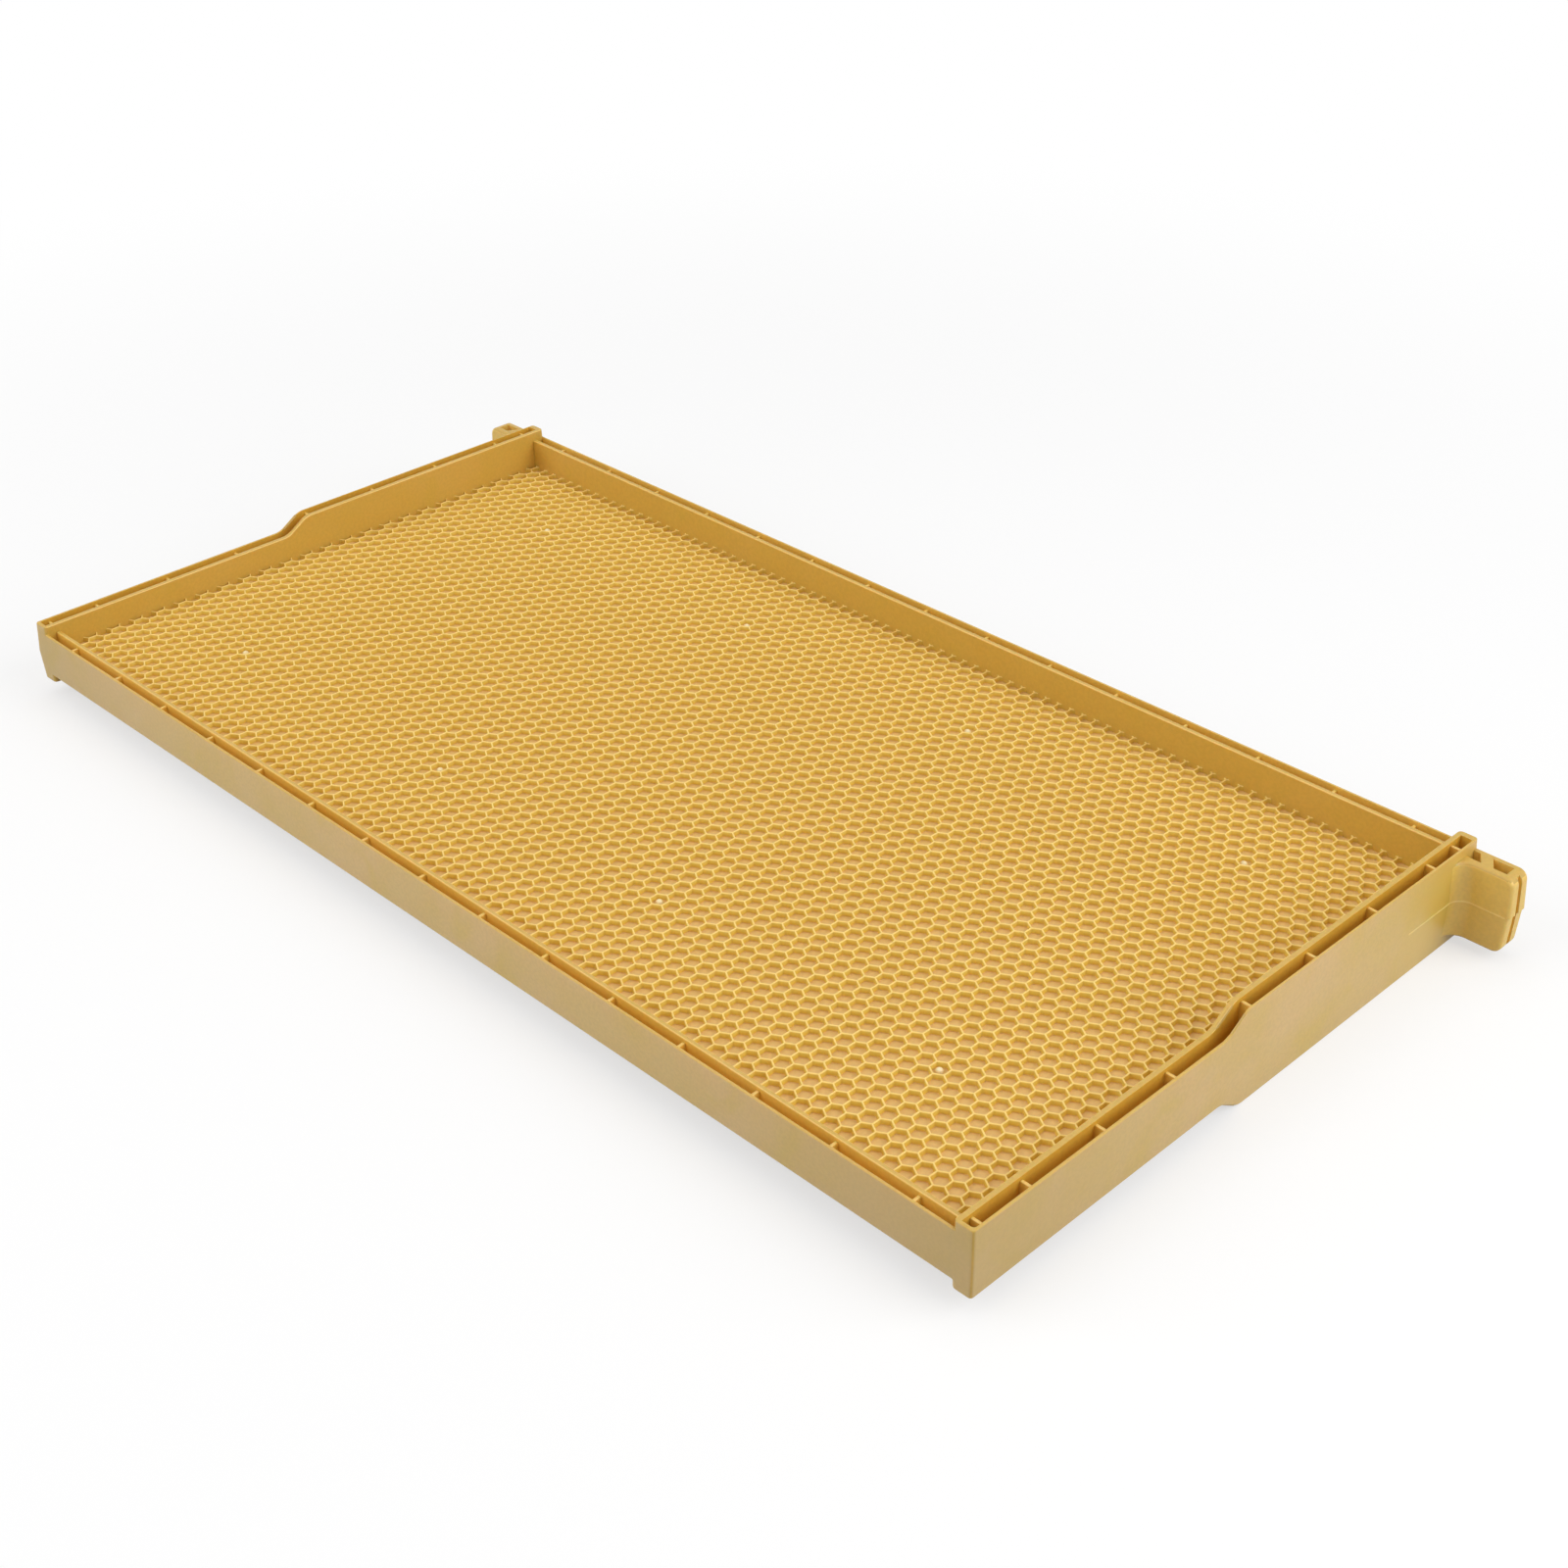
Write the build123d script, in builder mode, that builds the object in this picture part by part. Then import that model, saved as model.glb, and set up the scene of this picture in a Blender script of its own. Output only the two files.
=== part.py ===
from build123d import *
from math import sqrt
import os

os.makedirs("parts", exist_ok=True)

# A hive frame moulded in one shot with its comb foundation sheet, lying flat on its shoulders.
# X runs along the top bar, Y from the bottom bar to the top bar, and Z up through the frame.
# Millimetres. The parting plane is halfway up, and the outer faces draft away from it both ways.

# Outside sizes at the parting plane
body_length = 447.8
depth = 231.5
corner_radius = 1.2
draft_angle = 3.0

# How far each bar reaches through the frame
shoulder_width = 33.8
end_bar_width = 22.5
top_bar_width = 27.0
bottom_bar_width = 16.6

# Walls, channels and webs
outer_wall = 1.5
bottom_outer_wall = 1.3
end_inner_wall = 1.8
top_inner_wall = 1.7
bottom_inner_wall = 1.5
end_channel = 4.0
top_channel = 3.2
bottom_channel = 3.3
top_cap = 3.2
bottom_cap = 1.8
channel_web = 1.6
sheet_thickness = 1.6

# Comb ridges on both faces of the sheet. The moulded cells are 5.4 mm across, thousands to a face,
# so they are drawn coarse: larger cells, with ridges of the true height that hold about as much plastic.
comb_pitch = 18.3
comb_ridge = 1.8
comb_height = 1.5

# Where an end bar widens to its shoulder, measured from the bottom bar's outer face
slope_foot = 104.3
slope_length = 9.0
bend_radius = 7.0

# Ribs across the channels
rib_thickness = 1.1
rib_drop = 1.2
long_bar_bays = 15
narrow_rib_count = 3
narrow_rib_inset = 18.7
slope_foot_rib_inset = 21.0
shoulder_rib_count = 4
slope_head_rib_inset = 2.9
shoulder_rib_inset = 14.0

# Lugs that hang the frame: an underside flange, a core with pockets, and a top flange
lug_rest_flange = 2.5
lug_core = 4.2
lug_top_flange = 3.1
lug_pocket_length = 4.2
lug_brace_width = 4.4
lug_brace_lean = 2.6
lug_window_length = 4.3
lug_end_web = 2.5
lug_groove_depth = 1.9
lug_groove_width = 1.6
lug_corner_radius = 3.5
lug_root_radius = 5.0
lug_edge_radius = 1.5

# Places that follow from the sizes
parting_z = max(shoulder_width, end_bar_width, top_bar_width, bottom_bar_width) / 2
end_face_x = body_length / 2
top_y = depth / 2
bottom_y = -depth / 2
end_channel_outer_x = end_face_x - outer_wall
end_channel_inner_x = end_channel_outer_x - end_channel
field_x = end_channel_inner_x - end_inner_wall
top_channel_outer_y = top_y - outer_wall
top_channel_inner_y = top_channel_outer_y - top_channel
field_top_y = top_channel_inner_y - top_inner_wall
bottom_channel_outer_y = bottom_y + bottom_outer_wall
bottom_channel_inner_y = bottom_channel_outer_y + bottom_channel
field_bottom_y = bottom_channel_inner_y + bottom_inner_wall
slope_foot_y = bottom_y + slope_foot
slope_head_y = slope_foot_y + slope_length
lug_core_top_y = top_y - lug_top_flange
lug_core_rest_y = lug_core_top_y - lug_core
lug_rest_y = lug_core_rest_y - lug_rest_flange
lug_window_end_x = end_face_x + lug_pocket_length + lug_brace_width + lug_window_length
lug_groove_x = lug_window_end_x + lug_end_web
lug_tip_x = lug_groove_x + lug_groove_depth


def block(low, high, mode=Mode.ADD):
    """A box between two opposite corners, in the part that is being built."""
    with Locations([tuple((a + b) / 2 for a, b in zip(low, high))]):
        Box(*(b - a for a, b in zip(low, high)), mode=mode)


def save(part, name):
    """Labels a finished piece and writes it under the same name."""
    part.label = name
    export_step(part, f"parts/{name}.step")
    print(f"{name}: {len(part.solids())} solid(s), {part.volume:.1f} mm3")


def on_side(part, side):
    """A piece drawn at the right end, as it is or mirrored to the left end."""
    return part if side == "right" else mirror(part, about=Plane.YZ)


def drafted_slab(length, width, radius, edge_radius=0):
    """The space that the outer faces stay in: widest at the parting plane, drawn in above and below."""
    with BuildPart() as slab:
        with BuildSketch(Plane.XY.offset(parting_z)):
            RectangleRounded(length, depth, radius)
        extrude(amount=width / 2, both=True, taper=draft_angle)
        if edge_radius:
            levels = slab.edges().group_by(Axis.Z)
            fillet(levels[0] + levels[-1], edge_radius)
    return slab.part


body_space = drafted_slab(body_length, 2 * parting_z, corner_radius)
lug_space = drafted_slab(2 * lug_tip_x, top_bar_width, lug_corner_radius, lug_edge_radius)


def long_wall(y_low, y_high, width):
    """A wall of the top or bottom bar, from one end bar to the other."""
    with BuildPart() as wall:
        block((-field_x, y_low, parting_z - width / 2), (field_x, y_high, parting_z + width / 2))
        add(body_space, mode=Mode.INTERSECT)
    return wall.part


def long_web(y_low, y_high):
    """The floor of a long bar's two channels, on the parting plane."""
    with BuildPart() as web:
        block((-field_x, y_low, parting_z - channel_web / 2), (field_x, y_high, parting_z + channel_web / 2))
    return web.part


def rib_heights(width, face):
    """The lower and upper ends of a rib on the front or back of a web."""
    foot = channel_web / 2
    crest = width / 2 - rib_drop
    if face == "front":
        return parting_z + foot, parting_z + crest
    return parting_z - crest, parting_z - foot


def long_ribs(y_low, y_high, width, face):
    """The ribs across one face of a long bar's channel, in the middle of equal bays."""
    bay = 2 * field_x / long_bar_bays
    z_low, z_high = rib_heights(width, face)
    with BuildPart() as ribs:
        with Locations((0, (y_low + y_high) / 2, (z_low + z_high) / 2)):
            with GridLocations(bay, 0, long_bar_bays, 1):
                Box(rib_thickness, y_high - y_low, z_high - z_low)
    return ribs.part


def end_wall(x_low, x_high):
    """A wall of the right end bar, narrow below and wide at the shoulder."""
    narrow = end_bar_width / 2
    wide = shoulder_width / 2
    with BuildPart() as wall:
        with BuildSketch(Plane.YZ.offset(x_low)) as side_view:
            with BuildLine():
                Polyline(
                    (bottom_y, parting_z - narrow),
                    (slope_foot_y, parting_z - narrow),
                    (slope_head_y, parting_z - wide),
                    (top_y, parting_z - wide),
                    (top_y, parting_z + wide),
                    (slope_head_y, parting_z + wide),
                    (slope_foot_y, parting_z + narrow),
                    (bottom_y, parting_z + narrow),
                    close=True,
                )
            make_face()
            bends = side_view.vertices().sort_by(Axis.X)[2:-2]
            fillet(bends, bend_radius)
        extrude(amount=x_high - x_low)
        add(body_space, mode=Mode.INTERSECT)
    return wall.part


def end_cap(y_low, y_high, width):
    """The end of the right end bar's channel."""
    with BuildPart() as cap:
        block(
            (end_channel_inner_x, y_low, parting_z - width / 2),
            (end_channel_outer_x, y_high, parting_z + width / 2),
        )
        add(body_space, mode=Mode.INTERSECT)
    return cap.part


def end_web():
    """The floor of the right end bar's two channels, on the parting plane."""
    with BuildPart() as web:
        block(
            (end_channel_inner_x, bottom_y + bottom_cap, parting_z - channel_web / 2),
            (end_channel_outer_x, top_y - top_cap, parting_z + channel_web / 2),
        )
    return web.part


def spread(first, last, count):
    """Evenly spaced places from first to last."""
    return [first + (last - first) * step / (count - 1) for step in range(count)]


def end_ribs(face):
    """The ribs across one face of the right end bar's channel."""
    bottom_rib_y = (bottom_channel_inner_y + field_bottom_y) / 2
    lug_rib_y = (lug_rest_y + lug_core_rest_y) / 2
    narrow_places = spread(
        bottom_rib_y + narrow_rib_inset, slope_foot_y - slope_foot_rib_inset, narrow_rib_count
    )
    shoulder_places = spread(
        slope_head_y + slope_head_rib_inset, lug_rib_y - shoulder_rib_inset, shoulder_rib_count
    )
    rows = (
        ([bottom_rib_y] + narrow_places, end_bar_width),
        (shoulder_places + [lug_rib_y], shoulder_width),
    )
    with BuildPart() as ribs:
        for places, width in rows:
            z_low, z_high = rib_heights(width, face)
            for y in places:
                block(
                    (end_channel_inner_x, y - rib_thickness / 2, z_low),
                    (end_channel_outer_x, y + rib_thickness / 2, z_high),
                )
    return ribs.part


def lug_rest_piece(end_outer_wall):
    """The flange under the lug, whose flat underside hangs on the hive, with a round root at the end bar."""
    root_x = end_face_x + lug_root_radius
    root_y = lug_rest_y - lug_root_radius
    with BuildPart() as flange:
        with BuildSketch(Plane.XY.offset(parting_z - top_bar_width / 2)):
            with BuildLine():
                Polyline(
                    (end_face_x, root_y),
                    (end_channel_outer_x, root_y),
                    (end_channel_outer_x, lug_core_rest_y),
                    (lug_tip_x, lug_core_rest_y),
                    (lug_tip_x, lug_rest_y),
                    (root_x, lug_rest_y),
                )
                RadiusArc((root_x, lug_rest_y), (end_face_x, root_y), -lug_root_radius)
            make_face()
        extrude(amount=top_bar_width)
        root_edges = flange.edges().filter_by(GeomType.CIRCLE)
        rest_edges = flange.edges().filter_by(Axis.X).group_by(Axis.Y)[1]
        fillet(root_edges + rest_edges, min(lug_edge_radius, lug_rest_flange / 2))
        add(lug_space, mode=Mode.INTERSECT)
        add(end_outer_wall, mode=Mode.SUBTRACT)
    return flange.part


def lug_top_piece(end_outer_wall):
    """The flange along the top of the lug, flush with the top bar."""
    with BuildPart() as flange:
        block(
            (end_channel_outer_x, lug_core_top_y, parting_z - top_bar_width / 2),
            (lug_tip_x, top_y, parting_z + top_bar_width / 2),
        )
        add(lug_space, mode=Mode.INTERSECT)
        add(end_outer_wall, mode=Mode.SUBTRACT)
    return flange.part


def lug_core_piece(end_outer_wall):
    """The core between the flanges: a slanting brace and a grooved tip, with open pockets on both faces."""
    low_z = parting_z - top_bar_width / 2
    high_z = parting_z + top_bar_width / 2
    groove_y = (lug_core_rest_y + lug_core_top_y) / 2
    brace_rest_x = end_face_x + lug_pocket_length
    brace_top_x = brace_rest_x - lug_brace_lean
    pocket_depth = (top_bar_width - channel_web) / 2
    with BuildPart() as core:
        block((end_channel_outer_x, lug_core_rest_y, low_z), (lug_tip_x, lug_core_top_y, high_z))
        block(
            (lug_groove_x, groove_y - lug_groove_width / 2, low_z),
            (lug_tip_x, groove_y + lug_groove_width / 2, high_z),
            mode=Mode.SUBTRACT,
        )
        for start_z in (low_z, parting_z + channel_web / 2):
            with BuildSketch(Plane.XY.offset(start_z)):
                with BuildLine():
                    Polyline(
                        (end_channel_outer_x, lug_core_rest_y),
                        (brace_rest_x, lug_core_rest_y),
                        (brace_top_x, lug_core_top_y),
                        (end_channel_outer_x, lug_core_top_y),
                        close=True,
                    )
                make_face()
                with BuildLine():
                    Polyline(
                        (brace_rest_x + lug_brace_width, lug_core_rest_y),
                        (lug_window_end_x, lug_core_rest_y),
                        (lug_window_end_x, lug_core_top_y),
                        (brace_top_x + lug_brace_width, lug_core_top_y),
                        close=True,
                    )
                make_face()
            extrude(amount=pocket_depth, mode=Mode.SUBTRACT)
        add(lug_space, mode=Mode.INTERSECT)
        add(end_outer_wall, mode=Mode.SUBTRACT)
    return core.part


def comb_ridges():
    """The ridges on the sheet's front: a plate cut by rows of hexagons, each second row half a cell over."""
    row_step = comb_pitch * sqrt(3) / 2
    cell_radius = (comb_pitch - comb_ridge) / sqrt(3)
    plate_length = 2 * field_x
    plate_width = field_top_y - field_bottom_y
    columns = int((plate_length - comb_ridge) / comb_pitch - 1 / 2)
    rows = int((plate_width - comb_ridge - 2 * cell_radius) / row_step) + 1
    with BuildPart() as ridges:
        with BuildSketch(Plane.XY.offset(parting_z + sheet_thickness / 2)):
            with Locations((0, (field_bottom_y + field_top_y) / 2)):
                Rectangle(plate_length, plate_width)
                for row in range(rows):
                    over = comb_pitch / 4 if row % 2 else -comb_pitch / 4
                    with Locations((over, (row - (rows - 1) / 2) * row_step)):
                        with GridLocations(comb_pitch, 0, columns, 1):
                            RegularPolygon(cell_radius, 6, rotation=30, mode=Mode.SUBTRACT)
        extrude(amount=comb_height)
    return ridges.part


# The comb foundation, a thin sheet between the bars, and the ridges on its two faces
with BuildPart() as sheet:
    block(
        (-field_x, field_bottom_y, parting_z - sheet_thickness / 2),
        (field_x, field_top_y, parting_z + sheet_thickness / 2),
    )
save(sheet.part, "foundation_sheet")
front_ridges = comb_ridges()
save(front_ridges, "front_comb_ridges")
save(mirror(front_ridges, about=Plane.XY.offset(parting_z)), "back_comb_ridges")

# The top bar and the bottom bar, each two walls with a web and ribs between them
save(long_wall(top_channel_outer_y, top_y, top_bar_width), "top_bar_outer_wall")
save(long_wall(field_top_y, top_channel_inner_y, top_bar_width), "top_bar_inner_wall")
save(long_web(top_channel_inner_y, top_channel_outer_y), "top_bar_web")
save(long_wall(bottom_y, bottom_channel_outer_y, bottom_bar_width), "bottom_bar_outer_wall")
save(long_wall(bottom_channel_inner_y, field_bottom_y, bottom_bar_width), "bottom_bar_inner_wall")
save(long_web(bottom_channel_outer_y, bottom_channel_inner_y), "bottom_bar_web")
for face in ("front", "back"):
    top_ribs = long_ribs(top_channel_inner_y, top_channel_outer_y, top_bar_width, face)
    save(top_ribs, f"top_bar_{face}_ribs")
    bottom_ribs = long_ribs(bottom_channel_outer_y, bottom_channel_inner_y, bottom_bar_width, face)
    save(bottom_ribs, f"bottom_bar_{face}_ribs")

# The end bars and their lugs, drawn at the right end and mirrored to the left
outer = end_wall(end_channel_outer_x, end_face_x)
end_pieces = {
    "end_bar_outer_wall": outer,
    "end_bar_inner_wall": end_wall(field_x, end_channel_inner_x),
    "end_bar_web": end_web(),
    "end_bar_top_cap": end_cap(top_y - top_cap, top_y, shoulder_width),
    "end_bar_bottom_cap": end_cap(bottom_y, bottom_y + bottom_cap, end_bar_width),
    "end_bar_front_ribs": end_ribs("front"),
    "end_bar_back_ribs": end_ribs("back"),
    "lug_rest_flange": lug_rest_piece(outer),
    "lug_top_flange": lug_top_piece(outer),
    "lug_core": lug_core_piece(outer),
}
for side in ("right", "left"):
    for name, piece in end_pieces.items():
        save(on_side(piece, side), f"{side}_{name}")
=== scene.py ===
# %% [markdown]
# # A moulded hive frame with its comb foundation
# The object is a frame for a bee hive, moulded in one shot from honey-yellow plastic. Four channel bars stand round
# a thin sheet, and both faces of the sheet carry low walls that start the bees on their honeycomb. The solids of the
# part come first, as a fixed frame in metres, and every piece of this lesson goes where they say.

# %% Load the solids
import bmesh
import bpy
import math
from mathutils import Matrix, Vector


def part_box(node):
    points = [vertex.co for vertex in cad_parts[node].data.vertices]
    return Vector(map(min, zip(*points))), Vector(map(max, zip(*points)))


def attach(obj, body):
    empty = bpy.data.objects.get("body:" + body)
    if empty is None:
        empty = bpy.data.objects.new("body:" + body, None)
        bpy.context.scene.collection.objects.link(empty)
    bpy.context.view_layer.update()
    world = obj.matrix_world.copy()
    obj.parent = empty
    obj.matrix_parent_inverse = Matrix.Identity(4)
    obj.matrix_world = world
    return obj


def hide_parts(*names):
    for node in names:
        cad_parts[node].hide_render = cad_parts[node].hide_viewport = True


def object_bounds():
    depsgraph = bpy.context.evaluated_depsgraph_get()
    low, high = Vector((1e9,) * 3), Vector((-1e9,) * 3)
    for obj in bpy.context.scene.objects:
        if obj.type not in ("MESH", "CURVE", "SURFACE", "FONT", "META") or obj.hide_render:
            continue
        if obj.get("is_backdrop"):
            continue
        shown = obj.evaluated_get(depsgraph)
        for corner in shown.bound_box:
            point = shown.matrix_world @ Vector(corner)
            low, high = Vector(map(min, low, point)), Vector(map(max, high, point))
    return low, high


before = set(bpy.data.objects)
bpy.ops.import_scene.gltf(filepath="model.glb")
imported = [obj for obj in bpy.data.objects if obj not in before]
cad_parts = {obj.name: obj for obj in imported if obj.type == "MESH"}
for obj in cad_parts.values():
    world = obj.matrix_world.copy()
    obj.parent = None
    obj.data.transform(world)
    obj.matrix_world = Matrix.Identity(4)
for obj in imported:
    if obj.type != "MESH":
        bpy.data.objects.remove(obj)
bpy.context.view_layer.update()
MM = 0.001


def in_mm(*lengths):
    """Lengths in millimetres, rounded for printing."""
    return [round(length / MM, 2) for length in lengths]


# %% [markdown]
# Most sizes can be read from the solids, so they are not typed twice. The plane halfway up is where the two halves of
# the mould met. Nearly all pieces are modelled above that plane and then mirrored below it, as in the mould. Two
# lengths help to find parts of a mesh: closer than TINY is the same place, and closer than NEAR is right beside it.

# %% Places that the solids give
TINY, NEAR = 0.02 * MM, 1.0 * MM
sheet_low, sheet_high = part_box("foundation_sheet")
outer_low, outer_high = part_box("right_end_bar_outer_wall")
inner_low, inner_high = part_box("right_end_bar_inner_wall")
parting_z = (sheet_low.z + sheet_high.z) / 2
on_parting = (0, 0, parting_z)
web_top_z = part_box("top_bar_web")[1].z
draft = math.tan(math.radians(3.0))
print("parting plane in mm:", in_mm(parting_z), "sheet in mm:", in_mm(*(sheet_high - sheet_low)))

# %% [markdown]
# Materials are made of nodes. A few short functions keep that readable: they add a node with its values, carry one
# span of a value to another, mix two colours by a mask, start a node group and add a noise field.

# %% Tools for nodes
COLOR, FLOAT = "NodeSocketColor", "NodeSocketFloat"
MIX_FACTOR, MIX_FIRST, MIX_SECOND, MIX_RESULT = 0, 6, 7, 2


def put(tree, kind, settings=(), values=()):
    """A new node with some of its settings and input values set."""
    node = tree.nodes.new(kind)
    for name, value in dict(settings).items():
        setattr(node, name, value)
    for name, value in dict(values).items():
        node.inputs[name].default_value = value
    return node


def ranged(tree, source, span, target):
    """A smooth step that carries one span of a value to another."""
    step = put(tree, "ShaderNodeMapRange", {"interpolation_type": "SMOOTHSTEP"})
    for name, value in zip(("From Min", "From Max", "To Min", "To Max"), (*span, *target)):
        step.inputs[name].default_value = value
    tree.links.new(source, step.inputs["Value"])
    return step.outputs["Result"]


def opaque(colour):
    """A colour with full cover, as a socket takes it."""
    return (*colour, 1.0)


def mixed(tree, factor, first, second, blend="MIX"):
    """The socket of two colours mixed by a mask."""
    mix = put(tree, "ShaderNodeMix", {"data_type": "RGBA", "blend_type": blend})
    for socket, source in ((MIX_FACTOR, factor), (MIX_FIRST, first), (MIX_SECOND, second)):
        if isinstance(source, bpy.types.NodeSocket):
            tree.links.new(source, mix.inputs[socket])
        else:
            mix.inputs[socket].default_value = source
    return mix.outputs[MIX_RESULT]


def new_group(name, inputs, outputs):
    """An empty node group with named sockets, and its two end nodes."""
    group = bpy.data.node_groups.new(name, "ShaderNodeTree")
    for direction, sockets in (("INPUT", inputs), ("OUTPUT", outputs)):
        for socket_name, kind in sockets:
            group.interface.new_socket(socket_name, in_out=direction, socket_type=kind)
    return group, group.nodes.new("NodeGroupInput"), group.nodes.new("NodeGroupOutput")


def noise(tree, coordinates, scale, detail, distortion=0.0):
    """A noise field of so many features to the metre."""
    field = put(tree, "ShaderNodeTexNoise", {}, {"Scale": scale, "Detail": detail, "Distortion": distortion})
    tree.links.new(coordinates, field.inputs["Vector"])
    return field.outputs["Fac"]


print("tools for nodes are ready")

# %% [markdown]
# The plastic is one colour, but it does not look like one. Melt that flowed round the mould leaves pale and deep
# clouds, pigment leaves fine specks, and the tool leaves a fine grain. These could be painted on each piece. A node
# group is better: it is built once, reads each piece's own coordinates, and every finish uses it with its own values.

# %% A node group for moulded plastic
moulded, given, made = new_group(
    "moulded_plastic",
    [("Base", COLOR), ("Pale", COLOR), ("Deep", COLOR)],
    [("Color", COLOR), ("Roughness", FLOAT), ("Height", FLOAT)],
)
drag_stretch, drag_share = 0.06, 0.5
place = put(moulded, "ShaderNodeTexCoord").outputs["Object"]
stretched = put(moulded, "ShaderNodeMapping", {}, {"Scale": (1.0, 1.0, drag_stretch)})
moulded.links.new(place, stretched.inputs["Vector"])
flow = noise(moulded, place, scale=11.0, detail=3.0, distortion=1.6)
cloud = noise(moulded, place, scale=46.0, detail=4.0, distortion=0.6)
speck = noise(moulded, place, scale=900.0, detail=2.0)
drag = noise(moulded, stretched.outputs["Vector"], scale=260.0, detail=3.0)
pale_mask = ranged(moulded, flow, span=(0.44, 0.68), target=(0.0, 0.75))
deep_mask = ranged(moulded, cloud, span=(0.50, 0.74), target=(0.0, 0.55))
brightness = ranged(moulded, speck, span=(0.3, 0.7), target=(0.965, 1.035))
roughness = ranged(moulded, cloud, span=(0.2, 0.8), target=(0.40, 0.52))
colour = mixed(moulded, pale_mask, given.outputs["Base"], given.outputs["Pale"])
colour = mixed(moulded, deep_mask, colour, given.outputs["Deep"])
fleck = put(moulded, "ShaderNodeCombineColor")
for channel in ("Red", "Green", "Blue"):
    moulded.links.new(brightness, fleck.inputs[channel])
colour = mixed(moulded, 1.0, colour, fleck.outputs["Color"], "MULTIPLY")
height = put(moulded, "ShaderNodeMath", {"operation": "MULTIPLY_ADD"}, {1: drag_share})
moulded.links.new(drag, height.inputs[0])
moulded.links.new(speck, height.inputs[2])
for name, source in (("Color", colour), ("Roughness", roughness), ("Height", height.outputs["Value"])):
    moulded.links.new(source, made.inputs[name])
print("node group", moulded.name, "with", len(moulded.nodes), "nodes")

# %% [markdown]
# Some looks depend on the place. Thin ridges let light through and look paler than the floors between them; that
# light is painted, with the distance from the parting plane as its mask, on either face. Round the roots of the lugs
# the plastic is thick and more olive, and towards the bottom corners a painted shade makes it darker. Here the masks
# need the distance from a place, and because the sign of X is dropped, one place serves both ends. One function makes
# what all masks share.

# %% Node groups for masks of a distance
def new_mask(name):
    """A group for a mask from 0 at Start to 1 at End, with its coordinates and the distance's socket."""
    group, given, made = new_group(name, [("Start", FLOAT), ("End", FLOAT)], [("Mask", FLOAT)])
    step = put(group, "ShaderNodeMapRange", {"interpolation_type": "SMOOTHSTEP"})
    group.links.new(given.outputs["Start"], step.inputs["From Min"])
    group.links.new(given.outputs["End"], step.inputs["From Max"])
    group.links.new(step.outputs["Result"], made.inputs["Mask"])
    split = put(group, "ShaderNodeSeparateXYZ")
    group.links.new(put(group, "ShaderNodeTexCoord").outputs["Object"], split.inputs["Vector"])
    return group, split, step.inputs["Value"]


def unsigned(group, source):
    """A value without its sign."""
    plain = put(group, "ShaderNodeMath", {"operation": "ABSOLUTE"})
    group.links.new(source, plain.inputs[0])
    return plain.outputs["Value"]


def reach_mask(name, place):
    """The mask of the distance from a place at the right end, or from its mirror image at the left end."""
    group, split, distance = new_mask(name)
    folded = put(group, "ShaderNodeCombineXYZ")
    group.links.new(unsigned(group, split.outputs["X"]), folded.inputs["X"])
    for axis in "YZ":
        group.links.new(split.outputs[axis], folded.inputs[axis])
    span = put(group, "ShaderNodeVectorMath", {"operation": "DISTANCE"}, {1: place})
    group.links.new(folded.outputs["Vector"], span.inputs[0])
    group.links.new(span.outputs["Value"], distance)
    return group


# The rise from the parting plane: the mask of the cells' painted light.
lifted, split, rise = new_mask("rise_from_parting")
from_middle = put(lifted, "ShaderNodeMath", {"operation": "SUBTRACT"}, {1: parting_z})
lifted.links.new(split.outputs["Z"], from_middle.inputs[0])
lifted.links.new(unsigned(lifted, from_middle.outputs["Value"]), rise)
lug_root, bottom_corner = (0.224, 0.101, parting_z), (0.224, -0.116, parting_z)
by_lug = reach_mask("reach_from_lugs", lug_root)
# A painted shade: this mask darkens the outside towards the bottom corners.
painted_shade_by_corner = reach_mask("painted_shade_from_bottom_corners", bottom_corner)
print("masks:", [mask.name for mask in (lifted, by_lug, painted_shade_by_corner)])

# %% [markdown]
# Each finish is a Principled shader with the group in front of it. Light goes a little way into the plastic, red
# farthest, which is what the subsurface values say. Each zone of a finish is a colour that takes over where a mask
# is 1, and its two distances are in millimetres.

# %% How a finish is made
refraction, scatter_reach, scatter_tints = 1.5, 1.6 * MM, (1.0, 0.55, 0.22)
grain_strength, grain_depth = 0.25, 0.02 * MM


def finish(name, base, pale, deep, gloss, depth, zones=()):
    """A satin plastic. Each zone is a mask's group, its start, its end and a colour."""
    material = bpy.data.materials.new(f"comb_plastic_{name}")
    material.use_nodes = True
    tree = material.node_tree
    shader = tree.nodes["Principled BSDF"]
    constants = {
        "IOR": refraction, "Specular IOR Level": gloss,
        "Subsurface Weight": depth, "Subsurface Radius": scatter_tints, "Subsurface Scale": scatter_reach,
    }
    for socket, value in constants.items():
        shader.inputs[socket].default_value = value
    colours = {"Base": opaque(base), "Pale": opaque(pale), "Deep": opaque(deep)}
    look = put(tree, "ShaderNodeGroup", {"node_tree": moulded}, colours)
    seen = look.outputs["Color"]
    for group, start, end, colour in zones:
        mask = put(tree, "ShaderNodeGroup", {"node_tree": group}, {"Start": start * MM, "End": end * MM})
        seen = mixed(tree, mask.outputs["Mask"], seen, opaque(colour))
    bump = put(tree, "ShaderNodeBump", {}, {"Strength": grain_strength, "Distance": grain_depth})
    tree.links.new(look.outputs["Height"], bump.inputs["Height"])
    tree.links.new(seen, shader.inputs["Base Color"])
    tree.links.new(look.outputs["Roughness"], shader.inputs["Roughness"])
    tree.links.new(bump.outputs["Normal"], shader.inputs["Normal"])
    print("finish", material.name)
    return material


print("a finish lets light in about", in_mm(scatter_reach), "mm")
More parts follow.
